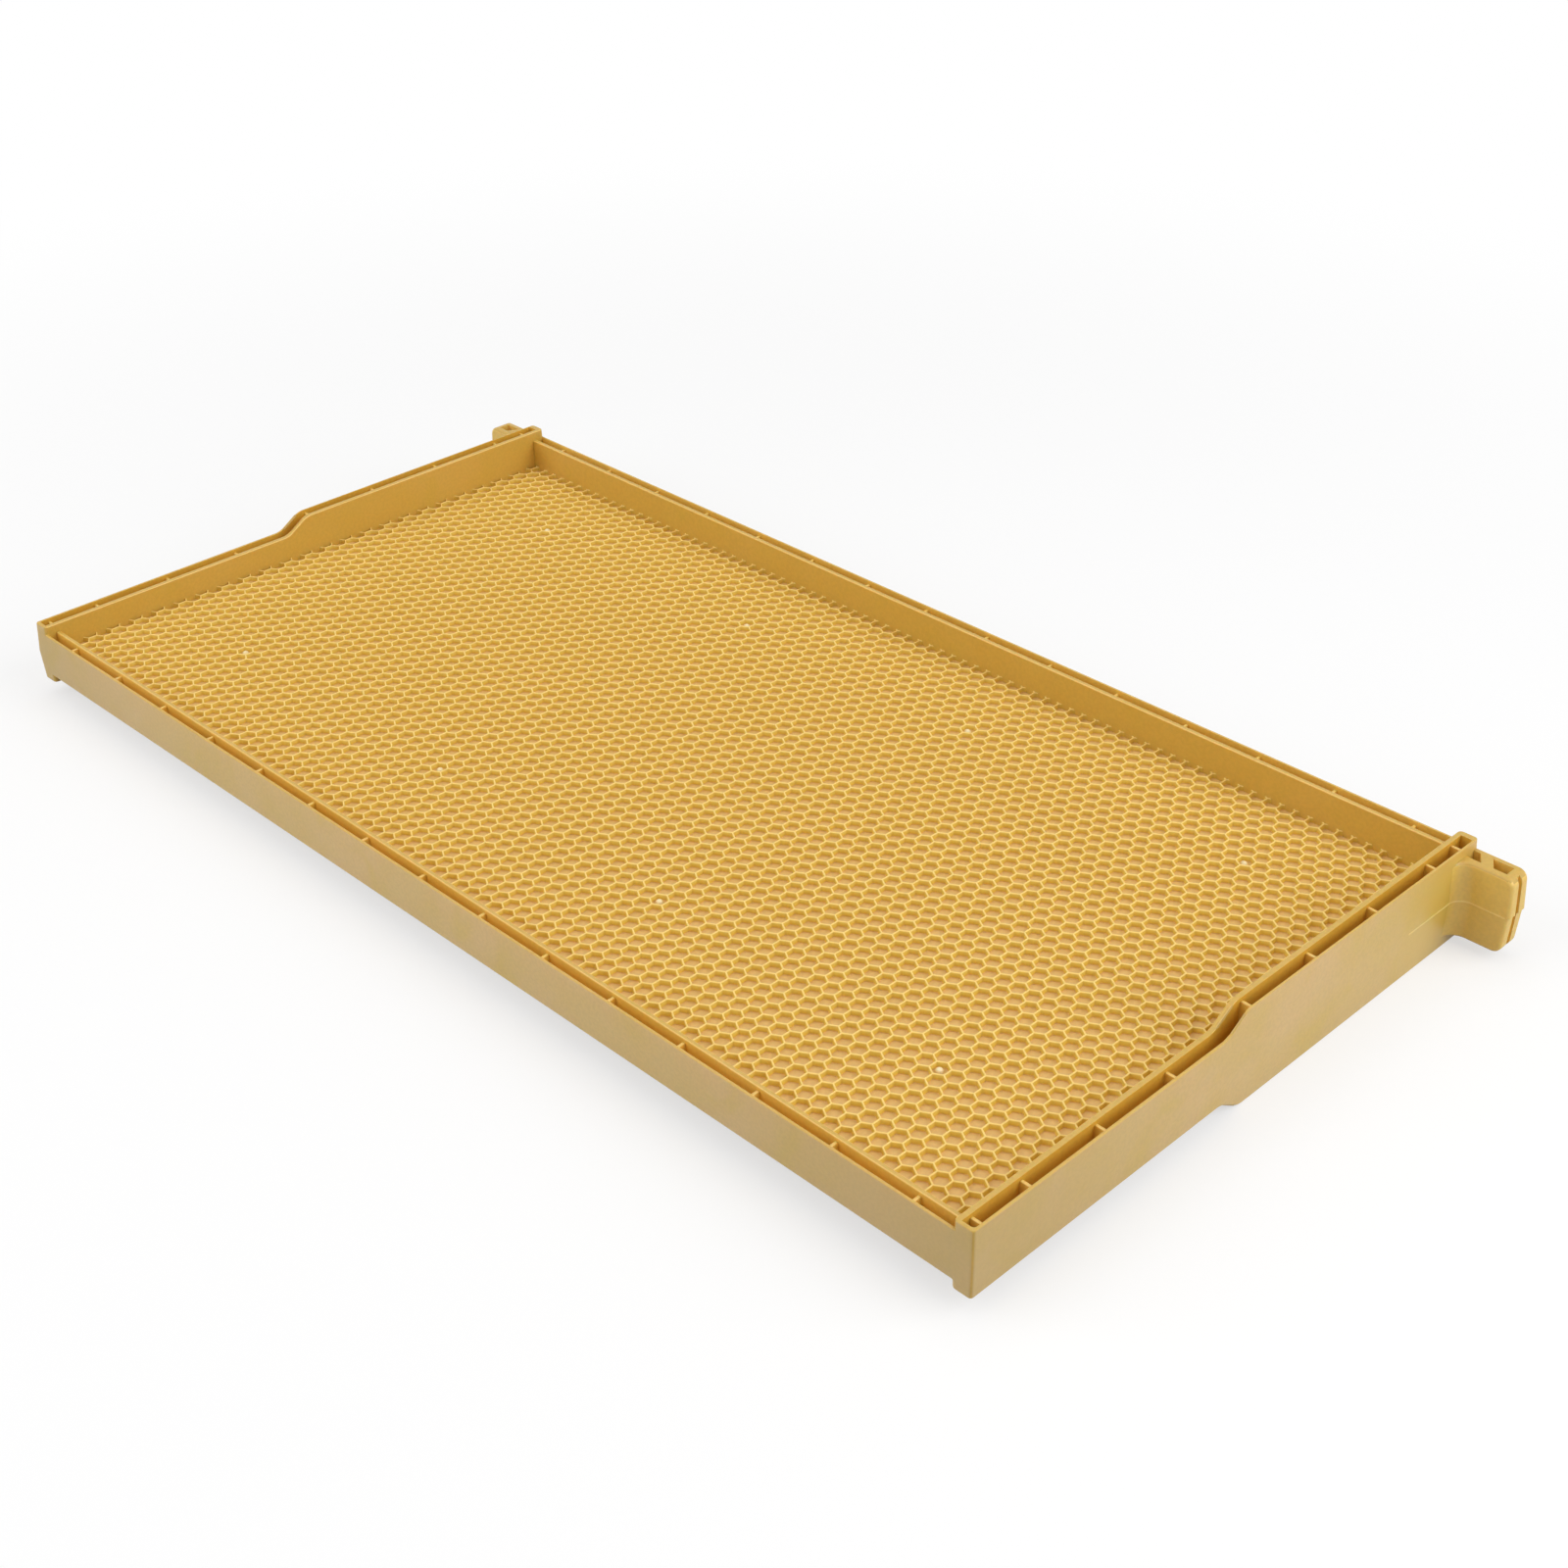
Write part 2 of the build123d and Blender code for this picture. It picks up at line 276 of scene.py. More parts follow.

# %% [markdown]
# The outside of the bars is glossy, and its pale colour is partly painted reflection of the white floor. The
# channels of the end bars are painted deep orange for the light that bounces inside them. Rounded edges and tops
# are golden, painted a little deeper than the walls as shade against the light from above, with a pale painted
# highlight along the slots. Ribs and the channels of the long bars are painted lighter for the light that gets
# through their thin walls. The cells change colour twice as they rise: their sides are painted a deeper yellow for
# the light that comes through the ridges, and their ridges are painted pale for the light that shines through them.

# %% The finishes
wall_finish = finish(
    "walls", (0.68, 0.430, 0.072), (0.71, 0.445, 0.092), (0.65, 0.425, 0.055), gloss=0.6, depth=0.4
)
# Tops and rounded edges: a golden finish a little deeper than the walls, a painted shade that tempers the light from
# above.
edge_finish = finish(
    "edges", (0.61, 0.390, 0.072), (0.64, 0.410, 0.090), (0.58, 0.375, 0.064), gloss=0.6, depth=0.4
)
# The outside: glossy, and its paler, greyer colour is partly painted reflection of the white floor. Its first zone is
# the olive tint of thick plastic round the lug roots, and its second is a painted shade towards the bottom corners.
outer_finish = finish(
    "outside", (0.685, 0.460, 0.135), (0.715, 0.475, 0.180), (0.66, 0.460, 0.090), gloss=1.0, depth=0.4,
    zones=[(by_lug, 40.0, 0.0, (0.70, 0.470, 0.080)), (painted_shade_by_corner, 130.0, -130.0, (0.466, 0.315, 0.085))],
)
# The end bars' channels are painted a deep orange: painted light for the glow that bounces round inside them.
channel_finish = finish(
    "channels", (0.74, 0.44, 0.055), (0.76, 0.46, 0.065), (0.70, 0.40, 0.045), gloss=0.3, depth=0.2
)
# Ribs and the long bars' channels are painted lighter: painted light for what gets through their thin walls.
thin_finish = finish(
    "thin", (0.85, 0.55, 0.100), (0.87, 0.57, 0.120), (0.81, 0.52, 0.085), gloss=0.3, depth=0.2
)
# The rims: a pale painted highlight, along the slots, on the inner walls, beside the sheet and on the rib crests.
rim_highlight_finish = finish(
    "rims", (0.80, 0.520, 0.115), (0.82, 0.540, 0.135), (0.77, 0.500, 0.100), gloss=0.8, depth=0.4
)
# The lugs: paler than the walls, painted light that lifts the shade on their sides and underside.
lug_finish = finish(
    "lugs", (0.82, 0.550, 0.115), (0.84, 0.555, 0.150), (0.80, 0.55, 0.090), gloss=0.8, depth=0.4
)
# The cells: painted light in two zones by height, with sides a deeper yellow for light coming through the ridges, and
# pale ridges for light shining through them.
cell_finish = finish(
    "cells", (0.78, 0.510, 0.190), (0.80, 0.525, 0.210), (0.74, 0.485, 0.170), gloss=0.25, depth=0.1,
    zones=[(lifted, 0.45, 0.80, (0.72, 0.475, 0.072)), (lifted, 1.90, 2.26, (0.96, 0.685, 0.220))],
)
# The flash along the parting line is painted pale; part of that paleness is a painted highlight that lifts the shade
# on its lower side.
mark_finish = finish(
    "marks", (0.94, 0.67, 0.210), (0.96, 0.69, 0.240), (0.90, 0.64, 0.180), gloss=0.8, depth=0.4
)
gate_finish = finish(
    "gates", (0.88, 0.72, 0.40), (0.92, 0.80, 0.52), (0.80, 0.62, 0.30), gloss=0.8, depth=0.1
)
BAR_FINISHES = (wall_finish, edge_finish, outer_finish, channel_finish, thin_finish, rim_highlight_finish)
WALL, EDGE, OUTSIDE, CHANNEL, THIN, RIM, MARK = range(7)

# %% [markdown]
# A bee's cell on such a sheet is a hexagon about 5.4 mm wide, with a low ridge round it. It could be sculpted or
# pressed in with a texture. Here one cell is modelled with real faces: a six-sided circle is inset three times, first
# for the flat of the ridge, then for its rounded shoulder, then for its steep side down to the floor. The photo shows
# the floors a little deeper than the solid sheet's face, so the side goes down past it.

# %% One cell
cell_pitch, row_step = 5.4 * MM, 4.684 * MM
regular_row_step = cell_pitch * math.sqrt(3) / 2
ridge_height, floor_drop = 1.5 * MM, 0.38 * MM
ridge_flat, shoulder_run, shoulder_drop, side_run = 0.11 * MM, 0.13 * MM, 0.12 * MM, 0.16 * MM
lattice_x, lattice_y = 1.12 * MM, 9.02 * MM
columns_left, rows_below, columns, row_pairs = 41, 26, 82, 25


def select_all():
    """In edit mode, selects everything."""
    bpy.ops.mesh.select_all(action="SELECT")


def edit(is_open):
    """Opens the active piece in edit mode, all selected, or goes back to object mode."""
    bpy.ops.object.mode_set(mode="EDIT" if is_open else "OBJECT")
    if is_open:
        select_all()


bpy.ops.mesh.primitive_circle_add(vertices=6, radius=cell_pitch / math.sqrt(3), fill_type="NGON")
comb_front = bpy.context.object
comb_front.name = comb_front.data.name = "comb_front_cells"
comb_front.data.materials.append(cell_finish)
edit(True)
bpy.ops.transform.resize(value=(1, row_step / regular_row_step, 1), center_override=(0, 0, 0))
bpy.ops.mesh.inset(thickness=ridge_flat)
bpy.ops.mesh.inset(thickness=shoulder_run, depth=-shoulder_drop)
bpy.ops.mesh.inset(thickness=side_run, depth=shoulder_drop - ridge_height - floor_drop)
select_all()
first_x, first_y = lattice_x - columns_left * cell_pitch, lattice_y - rows_below * row_step
bpy.ops.transform.translate(value=(first_x, first_y, sheet_high.z + ridge_height))
edit(False)
print("one cell has", len(comb_front.data.polygons), "faces")

# %% [markdown]
# The cell is repeated by two Array modifiers. Rows of a honeycomb are shifted by half a cell, so a row is copied once
# in edit mode with that shift, and the pair of rows is repeated. Vertices that meet are merged into one net.

# %% A field of cells
net_merge = 0.01 * MM


def repeat(piece, name, step, count):
    """Copies of the whole mesh at equal steps."""
    array = piece.modifiers.new(name, "ARRAY")
    array.use_relative_offset = False
    array.use_constant_offset = True
    array.constant_offset_displace = step
    array.count = count
    bpy.ops.object.modifier_apply(modifier=name)


def copy_by(step):
    """In edit mode, copies what is selected and moves the copy."""
    bpy.ops.mesh.duplicate_move(TRANSFORM_OT_translate={"value": step})


repeat(comb_front, "columns", (cell_pitch, 0, 0), columns)
edit(True)
copy_by((cell_pitch / 2, row_step, 0))
edit(False)
repeat(comb_front, "row pairs", (0, 2 * row_step, 0), row_pairs)
edit(True)
bpy.ops.mesh.remove_doubles(threshold=net_merge)
edit(False)
print("field of", columns * row_pairs * 2, "cells,", len(comb_front.data.polygons), "faces")

# %% [markdown]
# The net is now larger than the sheet. It is bisected at the four bars, so cells end at a wall half-made, as they do
# on the moulding. The open border is then extruded down to the parting plane and closed, which makes the front half
# of the sheet a solid. The back half is a mirrored copy.

# %% Trim and close the sheet
CUT_SNAP, CELL_SMOOTH = 1e-7, math.radians(60)
UPSIDE_DOWN, LEFT_FOR_RIGHT = (1, 1, -1), (-1, 1, 1)


def cut(point, normal, clear=False, fill=False):
    """A straight cut through everything, which may take away the side that the normal points to."""
    select_all()
    bpy.ops.mesh.bisect(plane_co=point, plane_no=normal, clear_outer=clear, use_fill=fill, threshold=CUT_SNAP)


def take_up(piece):
    """Makes a piece the only selected object and the active one."""
    bpy.ops.object.select_all(action="DESELECT")
    piece.select_set(True)
    bpy.context.view_layer.objects.active = piece


def mirrored_copy(piece, name, flip, about):
    """A copy with its own mesh, turned over about a point, with its faces still pointing outwards."""
    take_up(piece)
    bpy.ops.object.duplicate(linked=False)
    twin = bpy.context.object
    twin.name = twin.data.name = name
    edit(True)
    bpy.ops.transform.resize(value=flip, center_override=about)
    bpy.ops.mesh.normals_make_consistent(inside=False)
    edit(False)
    return twin


def stand_for(piece, *nodes):
    """The piece's body and the solids that it stands for."""
    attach(piece, "root")
    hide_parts(*nodes)
    print(piece.name, "has", len(piece.data.polygons), "faces and stands for", len(nodes), "solids")


edit(True)
cut((sheet_high.x, 0, 0), (1, 0, 0), clear=True)
cut((sheet_low.x, 0, 0), (-1, 0, 0), clear=True)
cut((0, sheet_high.y, 0), (0, 1, 0), clear=True)
cut((0, sheet_low.y, 0), (0, -1, 0), clear=True)
bpy.ops.mesh.select_all(action="DESELECT")
bpy.ops.mesh.select_mode(type="EDGE")
bpy.ops.mesh.select_non_manifold(extend=False, use_wire=False, use_multi_face=False, use_non_contiguous=False)
bpy.ops.mesh.extrude_edges_move()
bpy.ops.transform.resize(value=(1, 1, 0), center_override=on_parting)
bpy.ops.mesh.edge_face_add()
select_all()
bpy.ops.mesh.normals_make_consistent(inside=False)
edit(False)
bpy.ops.object.shade_smooth_by_angle(angle=CELL_SMOOTH)
comb_back = mirrored_copy(comb_front, "comb_back_cells", UPSIDE_DOWN, on_parting)
stand_for(comb_front, "foundation_sheet", "front_comb_ridges")
stand_for(comb_back, "foundation_sheet", "back_comb_ridges")

# %% [markdown]
# Melt was let into the mould through eight gates on the front, and where they were broken off a pale button is left
# on the floor of a cell. One button is a sphere with most of its lower half cut off. Its copies are moved to the
# other gates in edit mode, and the eight become part of the front half of the sheet.

# %% The gate marks
gate_xs = [v * MM for v in (168.0, 54.7, -52.8, -166.6)]
gate_ys = [v * MM for v in (-65.7, 74.4)]
gate_radius, gate_below, gate_lift = 1.2 * MM, 0.3 * MM, 0.2 * MM
bpy.ops.mesh.primitive_uv_sphere_add(segments=16, ring_count=8, radius=gate_radius, location=(0, 0, 0))
gates = bpy.context.object
gates.data.materials.append(gate_finish)
edit(True)
cut((0, 0, -gate_below), (0, 0, -1), clear=True, fill=True)
select_all()
bpy.ops.transform.translate(value=(gate_xs[0], gate_ys[0], sheet_high.z - floor_drop + gate_lift))
for here, there in zip(gate_xs, gate_xs[1:]):
    copy_by((there - here, 0, 0))
select_all()
copy_by((0, gate_ys[1] - gate_ys[0], 0))
edit(False)
bpy.ops.object.shade_smooth_by_angle(angle=CELL_SMOOTH)
comb_front.select_set(True)
bpy.context.view_layer.objects.active = comb_front
bpy.ops.object.join()
print("gate marks:", len(gate_xs) * len(gate_ys), "on", bpy.context.object.name)

# %% [markdown]
# The bars are boxes with rounded rims, so a few hand tools serve them all. The first ones add a box between two
# corners, pick vertices, edges or faces by a test, move vertices, round edges, paint faces with one of the finishes
# and push faces. Tests often ask how much of a direction lies along an axis: MOST of it, HALF, SOME or LITTLE.

# %% Hand tools for shaping
MOST, HALF, SOME, LITTLE = 0.9, 0.5, 0.35, 0.1


def at_one(value, *places):
    """Whether a value is at one of some places."""
    return min(abs(value - place) for place in places) < TINY


def centre_and_size(low, high):
    """The centre and the size of a box between two corners."""
    return [(a + b) / 2 for a, b in zip(low, high)], [b - a for a, b in zip(low, high)]


def add_block(name, low, high):
    """A box between two corners, with its place in its mesh, left open in edit mode."""
    centre, size = centre_and_size(low, high)
    bpy.ops.mesh.primitive_cube_add(size=1, location=centre, scale=size)
    bpy.ops.object.transform_apply(location=True, rotation=True, scale=True)
    piece = bpy.context.object
    piece.name = piece.data.name = name
    for bar_finish in BAR_FINISHES:
        piece.data.materials.append(bar_finish)
    edit(True)
    return piece


def choose(kind, test):
    """In edit mode, selects the vertices, edges or faces that a test accepts."""
    bpy.ops.mesh.select_mode(type=kind)
    bpy.ops.mesh.select_all(action="DESELECT")
    mesh = bmesh.from_edit_mesh(bpy.context.edit_object.data)
    mesh.normal_update()
    parts = {"VERT": mesh.verts, "EDGE": mesh.edges, "FACE": mesh.faces}[kind]
    chosen = [part for part in parts if test(part)]
    for part in chosen:
        part.select_set(True)
    bmesh.update_edit_mesh(bpy.context.edit_object.data)
    return len(chosen)


def move_points(test, step):
    """Moves the vertices that a test accepts."""
    choose("VERT", lambda vertex: test(vertex.co))
    bpy.ops.transform.translate(value=step)


def round_edges(test, width, segments, slot=WALL):
    """Rounds the edges that a test accepts. The test gets an edge's middle, its direction and the edge."""
    def accepts(edge):
        a, b = (vertex.co for vertex in edge.verts)
        return test((a + b) / 2, (b - a).normalized(), edge)

    count = choose("EDGE", accepts)
    if count:
        bpy.ops.mesh.bevel(offset=width, segments=segments, profile=0.5, affect="EDGES", material=slot)
    return count


def paint(slot, test):
    """Gives the faces that a test accepts one of the finishes. The test gets a face's middle and its normal."""
    count = choose("FACE", lambda face: test(face.calc_center_median(), face.normal))
    bpy.context.object.active_material_index = slot
    bpy.ops.object.material_slot_assign()
    return count


def push(step):
    """Extrudes the selected faces."""
    bpy.ops.mesh.extrude_region_move(TRANSFORM_OT_translate={"value": step})


def is_convex(edge):
    """An outer edge between two faces."""
    return len(edge.link_faces) == 2 and edge.is_convex


def is_rim(edge):
    """An outer edge between a face that looks up or down and one that looks sideways."""
    if not is_convex(edge):
        return False
    lean = sorted(abs(face.normal.z) for face in edge.link_faces)
    return lean[0] < SOME and lean[1] > HALF


def sideways_face(edge):
    """Of the two faces at a rim, the one that looks sideways."""
    return min(edge.link_faces, key=lambda face: abs(face.normal.z))


print("tools for shaping are ready")

# %% [markdown]
# The other tools finish a piece. They take needless edges off its flat faces, open it at the parting plane, turn the
# finished upper half over to make the lower one, shade it, and set it on its body in place of the solids.

# %% Hand tools for finishing
FLAT, BAR_SMOOTH = math.radians(0.1), math.radians(38)
seam_merge = 0.002 * MM


def merge_flat_faces():
    """Takes away edges that cross flat faces, apart from seams."""
    select_all()
    bpy.ops.mesh.dissolve_limited(angle_limit=FLAT, delimit={"NORMAL", "SEAM"})


def open_at_parting():
    """Takes away the faces that lie in the parting plane."""
    choose("FACE", lambda face: all(at_one(v.co.z, parting_z) for v in face.verts))
    bpy.ops.mesh.delete(type="FACE")


def mirror_below():
    """Opens the half-piece at the parting plane, adds its mirror image and joins the two."""
    open_at_parting()
    bpy.ops.mesh.select_mode(type="VERT")
    select_all()
    bpy.ops.mesh.duplicate()
    bpy.ops.transform.resize(value=UPSIDE_DOWN, center_override=on_parting)
    select_all()
    bpy.ops.mesh.remove_doubles(threshold=seam_merge)
    bpy.ops.mesh.normals_make_consistent(inside=False)


def settle(piece, *nodes):
    """Object mode, smooth shading with flat faces kept flat, and the piece's place in the frame."""
    edit(False)
    take_up(piece)
    bpy.ops.object.shade_smooth_by_angle(angle=BAR_SMOOTH)
    weighted = piece.modifiers.new("weighted normals", "WEIGHTED_NORMAL")
    weighted.keep_sharp = True
    bpy.ops.object.modifier_apply(modifier=weighted.name)
    stand_for(piece, *nodes)


def settle_both(piece, *nodes):
    """Settles a piece of the right end, and its mirror image at the left end."""
    settle(piece, *nodes)
    twin = mirrored_copy(piece, piece.name.replace("right", "left"), LEFT_FOR_RIGHT, (0, 0, 0))
    settle(twin, *(node.replace("right", "left") for node in nodes))


slot_edge, wall_edge = 0.16 * MM, 0.45 * MM
print("rims in mm, at the slots and elsewhere:", in_mm(slot_edge, wall_edge))

# %% [markdown]
# The top bar and the bottom bar are each two long walls with a deep channel between them. The outer wall leans in
# by three degrees above and below the parting plane, so that the mould lets go of it. A wall starts as a box above
# that plane, its outer rim is moved in, and its rims are rounded.

# %% Walls of the two long bars
BARS = (("top_bar", 1), ("bottom_bar", -1))


def long_wall(name, node, side, is_outer):
    """A wall along X of the bar on the +1 or -1 side along Y."""
    low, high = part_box(node)
    lean_in = (high.z - parting_z) * draft
    channel_way = -side if is_outer else side
    wall = add_block(name, (low.x, low.y, parting_z), high)
    if is_outer:
        outer_y = high.y if side > 0 else low.y
        move_points(lambda p: at_one(p.y, outer_y) and p.z > parting_z + TINY, (0, -side * lean_in, 0))
    # The rims along the slot and both rims of an inner wall take the rim finish's pale painted highlight; the tops
    # take the edge finish's painted shade.
    for way_y in (1, -1):
        at_slot = is_outer and way_y == channel_way
        round_edges(
            lambda middle, way, edge: is_rim(edge) and abs(way.x) > MOST and middle.z > high.z - TINY
            and sideways_face(edge).normal.y * way_y > 0,
            slot_edge if at_slot else wall_edge, segments=4, slot=RIM if at_slot or not is_outer else EDGE,
        )
    paint(EDGE, lambda middle, normal: normal.z > MOST)
    paint(THIN, lambda middle, normal: normal.y * channel_way > MOST)
    if is_outer:
        paint(OUTSIDE, lambda middle, normal: normal.y * side > MOST)
    mirror_below()
    settle(wall, node)


for bar, side in BARS:
    long_wall(f"{bar}_outer_side", f"{bar}_outer_wall", side, is_outer=True)
    long_wall(f"{bar}_inner_side", f"{bar}_inner_wall", side, is_outer=False)

# %% [markdown]
# An end bar is narrow at the bottom of the hive and widens to a shoulder that spaces it from the next frame. Its two
# walls and its two ends run into each other, so it is modelled as one shell. The block is cut where the slope starts
# and ends, the shoulder is raised, the outer faces are leaned in, and the two bends are rounded.

# %% The outside of an end bar
slope_foot_y, slope_head_y = -11.45 * MM, -2.45 * MM
bend_radius, corner_round = 7.0 * MM, 1.1 * MM
narrow_z, wide_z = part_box("right_end_bar_bottom_cap")[1].z, outer_high.z
end_bar = add_block(
    "right_end_bar_shell", (inner_low.x, outer_low.y, parting_z), (outer_high.x, outer_high.y, narrow_z)
)
cut((0, slope_foot_y, 0), (0, 1, 0))
cut((0, slope_head_y, 0), (0, 1, 0))
move_points(lambda p: p.y > slope_head_y - TINY and p.z > narrow_z - TINY, (0, 0, wide_z - narrow_z))
for level in (narrow_z, wide_z):
    lean_in = (level - parting_z) * draft
    move_points(lambda p: p.x > outer_high.x - TINY and at_one(p.z, level), (-lean_in, 0, 0))
    move_points(lambda p: p.y > outer_high.y - TINY and at_one(p.z, level), (0, -lean_in, 0))
    move_points(lambda p: p.y < outer_low.y + TINY and at_one(p.z, level), (0, lean_in, 0))
merge_flat_faces()


def is_bend(middle, way, edge):
    """An edge across the top at the foot or the head of the slope."""
    return abs(way.x) > MOST and at_one(middle.y, slope_foot_y, slope_head_y) and middle.z > narrow_z - TINY


def is_corner(middle, way, edge):
    """An upright edge at an outer corner."""
    return abs(way.z) > MOST and middle.x > outer_high.x - NEAR and abs(middle.y) > outer_high.y - NEAR


slope_angle = math.atan2(wide_z - narrow_z, slope_head_y - slope_foot_y)
bends = round_edges(is_bend, bend_radius * math.tan(slope_angle / 2), segments=6)
corners = round_edges(is_corner, corner_round, segments=6, slot=EDGE)
print("bends rounded:", bends, "corners rounded:", corners)

# %% [markdown]
# An end bar stands higher than the long bar that meets it, and its upright edge there is rounded above the long bar
# only. Two cuts close together let the rounding run out between them.

# %% The steps beside the long bars
step_round, step_fade = 1.4 * MM, 0.06 * MM
for bar, side in BARS:
    step_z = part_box(f"{bar}_outer_wall")[1].z
    for z in (step_z - step_fade, step_z):
        cut((0, 0, z), (0, 0, 1))
    steps = round_edges(
        lambda middle, way, edge: abs(way.z) > MOST and middle.z > step_z and middle.x < inner_low.x + TINY
        and middle.y * side > outer_high.y - 2 * NEAR,
        step_round, segments=4,
    )
    print("step edges rounded at the", bar, steps)

# %% [markdown]
# The channel could be a second box taken away with a Boolean. Cutting the top along the channel's four sides and
# pushing the faces between them down keeps the mesh clean. The pushed floor still has the slope of the shoulder, so
# it is scaled flat at the height of the web.

# %% The channel of an end bar
channel_round = 1.0 * MM
channel_low_x, channel_high_x = inner_high.x, outer_low.x
channel_low_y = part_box("right_end_bar_bottom_cap")[1].y
channel_high_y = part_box("right_end_bar_top_cap")[0].y
for x in (channel_low_x, channel_high_x):
    cut((x, 0, 0), (1, 0, 0))
for y in (channel_low_y, channel_high_y):
    cut((0, y, 0), (0, 1, 0))


def over_channel(middle, margin):
    """A place between the channel's four sides, with a margin."""
    along_x = channel_low_x - margin < middle.x < channel_high_x + margin
    return along_x and channel_low_y - margin < middle.y < channel_high_y + margin


pushed = choose("FACE", lambda face: face.normal.z > HALF and over_channel(face.calc_center_median(), 0))
push((0, 0, web_top_z - narrow_z))
bpy.ops.transform.resize(value=(1, 1, 0), center_override=(0, 0, web_top_z))
merge_flat_faces()
channel_corners = round_edges(
    lambda middle, way, edge: abs(way.z) > MOST and at_one(middle.x, channel_high_x)
    and at_one(middle.y, channel_low_y, channel_high_y),
    channel_round, segments=4,
)
print("channel faces:", pushed, "channel corners:", channel_corners)

# %% [markdown]
# Last on the end bar come its rims and its finishes. A rim along the slot is sharper than the others, and it is told
# from them by its upright face, which looks into the channel. The left end bar is a mirrored copy.

# %% Rims and finishes of the end bars
rim_rise = 5.0 * MM


def is_slot_rim(edge):
    """A rim whose upright face looks into the channel."""
    return is_rim(edge) and over_channel(sideways_face(edge).calc_center_median(), TINY)


def is_outer_rim(middle, way, edge):
    """A rim at the top of the bar that isn't along the slot."""
    return middle.z > web_top_z + rim_rise and is_rim(edge) and not is_slot_rim(edge)


def looks_into_channel(middle, normal):
    """A side or the floor of the channel."""
    return over_channel(middle, TINY) and (abs(normal.z) < LITTLE or middle.z < web_top_z + TINY)


def looks_outside(middle, normal):
    """The face towards the hive's end wall, or one of the bar's two ends."""
    at_side = normal.x > MOST and middle.x > outer_low.x + TINY
    return at_side or (abs(normal.y) > MOST and abs(middle.y) > channel_high_y + NEAR)


def is_sheet_rim(middle, normal):
    """The rounded rim on the side of the sheet."""
    return middle.x < inner_low.x + wall_edge and normal.x < -SOME and normal.z > SOME


# The slot rims and the rim towards the sheet take the pale painted highlight; the tops take a painted shade, and the
# channel a deep orange painted for light bouncing inside it.
rims = [
    round_edges(lambda middle, way, edge: middle.z > web_top_z + NEAR and is_slot_rim(edge), slot_edge, 2, slot=RIM),
    round_edges(is_outer_rim, wall_edge, segments=4, slot=EDGE),
]
painted = [
    paint(EDGE, lambda middle, normal: normal.z > MOST and middle.z > narrow_z - NEAR),
    paint(CHANNEL, looks_into_channel),
    paint(OUTSIDE, looks_outside),
    paint(RIM, is_sheet_rim),
]
print("rim edges:", rims, "painted:", painted)
mirror_below()
END_PARTS = ("outer_wall", "inner_wall", "web", "top_cap", "bottom_cap")
settle_both(end_bar, *(f"right_end_bar_{part}" for part in END_PARTS))

# %% [markdown]
# Thin ribs cross the channels and keep the walls apart. Every rib is the same small box with a rounded crest, so one
# is modelled for each channel and copied. On the long bars an Array modifier sets them at equal steps.

# %% Ribs of the long bars
rib_half, crest_round, long_bar_ribs = 0.55 * MM, 0.3 * MM, 15


def add_rib(name, low, high):
    """One rib with a rounded crest, left open in edit mode."""
    rib = add_block(name, low, high)
    # The rib's sides take the lighter thin finish, which is painted light, and its crest takes the rim finish's pale
    # painted highlight.
    paint(THIN, lambda middle, normal: abs(normal.z) < LITTLE)
    round_edges(
        lambda middle, way, edge: is_rim(edge) and middle.z > high[2] - TINY, crest_round, segments=2, slot=RIM
    )
    paint(RIM, lambda middle, normal: normal.z > MOST)
    return rib


for bar, _ in BARS:
    low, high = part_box(f"{bar}_front_ribs")
    step = (high.x - low.x - 2 * rib_half) / (long_bar_ribs - 1)
    rib = add_rib(f"{bar}_ribs_front", low, (low.x + 2 * rib_half, high.y, high.z))
    edit(False)
    repeat(rib, "bays", (step, 0, 0), long_bar_ribs)
    settle(rib, f"{bar}_front_ribs")
    settle(mirrored_copy(rib, f"{bar}_ribs_back", UPSIDE_DOWN, on_parting), f"{bar}_back_ribs")
    print(bar, "ribs:", long_bar_ribs, "on each face, with steps in mm of", in_mm(step))

# %% [markdown]
# The ribs of an end bar stand at unequal steps, so each copy is moved to its place in edit mode. Those in the narrow
# part are lower than those in the shoulder, so there are two rows, which are joined. The ribs of the other three
# channels are mirrored copies.

# %% Ribs of the end bars
rib_low, rib_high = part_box("right_end_bar_front_ribs")
narrow_places = [v * MM for v in (-110.4, -91.7, -62.075, -32.45)]
wide_places = [v * MM for v in (0.45, 31.367, 62.283, 93.2, 107.2)]
narrow_crest_z = narrow_z - (wide_z - rib_high.z)
rows_of_ribs = []
for name, places, crest_z in (("narrow", narrow_places, narrow_crest_z), ("wide", wide_places, rib_high.z)):
    first = places[0]
    rib = add_rib(
        f"{name}_ribs", (rib_low.x, first - rib_half, rib_low.z), (rib_high.x, first + rib_half, crest_z)
    )
    select_all()
    for here, there in zip(places, places[1:]):
        copy_by((0, there - here, 0))
    edit(False)
    rows_of_ribs.append(rib)
take_up(rows_of_ribs[0])
rows_of_ribs[1].select_set(True)
bpy.ops.object.join()
right_ribs = bpy.context.object
right_ribs.name = right_ribs.data.name = "right_end_bar_ribs_front"
settle(right_ribs, "right_end_bar_front_ribs")
turns = (("right", "back", UPSIDE_DOWN), ("left", "front", LEFT_FOR_RIGHT), ("left", "back", (-1, 1, -1)))
for end, face, flip in turns:
    twin = mirrored_copy(right_ribs, f"{end}_end_bar_ribs_{face}", flip, on_parting)
    settle(twin, f"{end}_end_bar_{face}_ribs")
print("end bar ribs:", len(narrow_places) + len(wide_places), "on each face of each bar")

